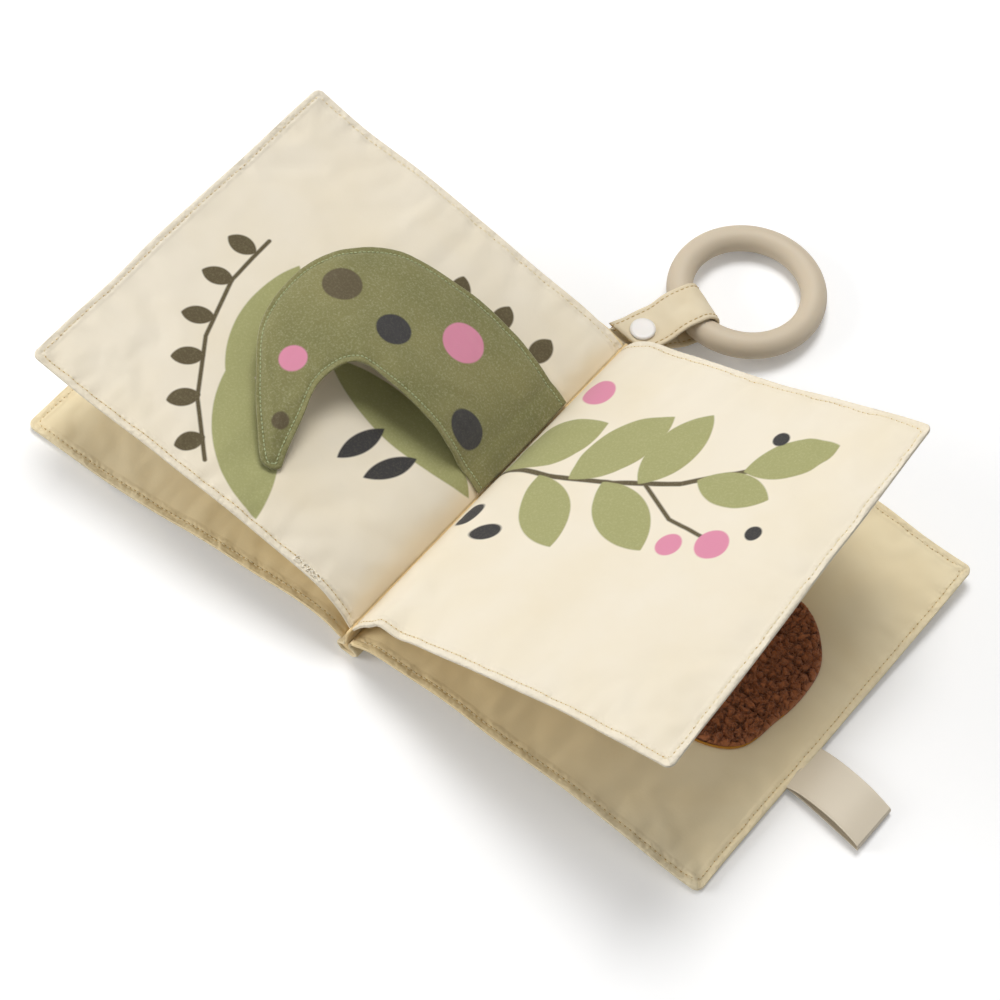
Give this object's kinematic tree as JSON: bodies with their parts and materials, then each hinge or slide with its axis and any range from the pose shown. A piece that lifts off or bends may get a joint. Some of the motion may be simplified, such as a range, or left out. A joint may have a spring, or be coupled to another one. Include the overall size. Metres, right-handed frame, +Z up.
{
  "type": "crinkle cloth book",
  "caption": "Open soft cloth baby book with padded crinkle leaves, a lift-up flap, a fleece patch, a ribbon label and a teething ring on a snap strap.",
  "frame": {"origin": "on the table, under the middle of the spine", "axes": "+Y along the gutter from the near end to the ring's end, +X across to the right-hand leaves, +Z up"},
  "size_m": [0.3812, 0.2726, 0.0986],
  "materials": {
    "cream_cotton": "woven cotton, matt, softly puckered at the seams",
    "crinkle_film": "thin crinkly film, hidden between the cloths",
    "olive_cloth": "printed cotton, matt",
    "sherpa_fleece": "curly pile fleece",
    "satin_ribbon": "smooth satin ribbon",
    "snap_plastic": "moulded plastic, slight gloss",
    "ring_silicone": "smooth matt food-grade silicone"
  },
  "bodies": {
    "book_base": {"spine_cloth": "cream_cotton", "gutter_seam": "cream_cotton", "right_page_gutter_fold": "cream_cotton", "back_cover_upper_cloth": "cream_cotton", "back_cover_crinkle_film": "crinkle_film", "back_cover_under_cloth": "cream_cotton", "sherpa_patch": "sherpa_fleece"},
    "front_cover": {"front_cover_upper_cloth": "cream_cotton", "front_cover_crinkle_film": "crinkle_film", "front_cover_under_cloth": "cream_cotton", "left_page_gutter_fold": "cream_cotton", "flap_gutter_edge": "olive_cloth"},
    "left_page": {"left_page_upper_cloth": "cream_cotton", "left_page_crinkle_film": "crinkle_film", "left_page_under_cloth": "cream_cotton"},
    "flap": {"flap_upper_cloth": "olive_cloth", "flap_padding": "crinkle_film", "flap_under_cloth": "olive_cloth"},
    "right_page": {"right_page_upper_cloth": "cream_cotton", "right_page_crinkle_film": "crinkle_film", "right_page_under_cloth": "cream_cotton"},
    "strap": {"ring_strap": "cream_cotton", "snap_stud": "snap_plastic", "snap_back_cap": "snap_plastic"},
    "tongue": {"strap_tongue": "cream_cotton", "snap_cap": "snap_plastic", "snap_socket": "snap_plastic"},
    "ring": {"teething_ring": "ring_silicone"},
    "label": {"care_label": "satin_ribbon"}
  },
  "joints": [
    {"name": "front_cover_turn", "type": "hinge", "parent": "book_base", "child": "front_cover", "pos_m": [-0.0023, 0, 0.0132], "axis": [0, 1, 0], "range_deg": [0, 35]},
    {"name": "left_page_turn", "type": "hinge", "parent": "front_cover", "child": "left_page", "pos_m": [-0.013, 0, 0.025], "axis": [0, 0.9989, -0.0459], "range_deg": [-12, 35]},
    {"name": "flap_lift", "type": "hinge", "parent": "left_page", "child": "flap", "pos_m": [-0.01125, 0.02068, 0.02798], "axis": [0, 0.9989, -0.0459], "range_deg": [0, 28]},
    {"name": "right_page_turn", "type": "hinge", "parent": "book_base", "child": "right_page", "pos_m": [0.013, 0, 0.03], "axis": [0, 1, 0], "range_deg": [-85, 20]},
    {"name": "strap_lift", "type": "hinge", "parent": "book_base", "child": "strap", "pos_m": [-0.0034, 0.0916, 0.0132], "axis": [1, 0, 0], "range_deg": [0, 50]},
    {"name": "snap_open", "type": "hinge", "parent": "strap", "child": "tongue", "pos_m": [0.00906, 0.12096, 0.01678], "axis": [-0.9205, 0.3907, 0], "range_deg": [0, 105]},
    {"name": "ring_spin", "type": "hinge", "parent": "strap", "child": "ring", "pos_m": [0.01982, 0.1463, 0.00769], "axis": [0.0286, 0.0674, 0.9973], "continuous": true},
    {"name": "label_bend", "type": "hinge", "parent": "book_base", "child": "label", "pos_m": [0.17272, -0.0183, 0.00321], "axis": [0, -1, 0], "range_deg": [0, 70]}
  ]
}
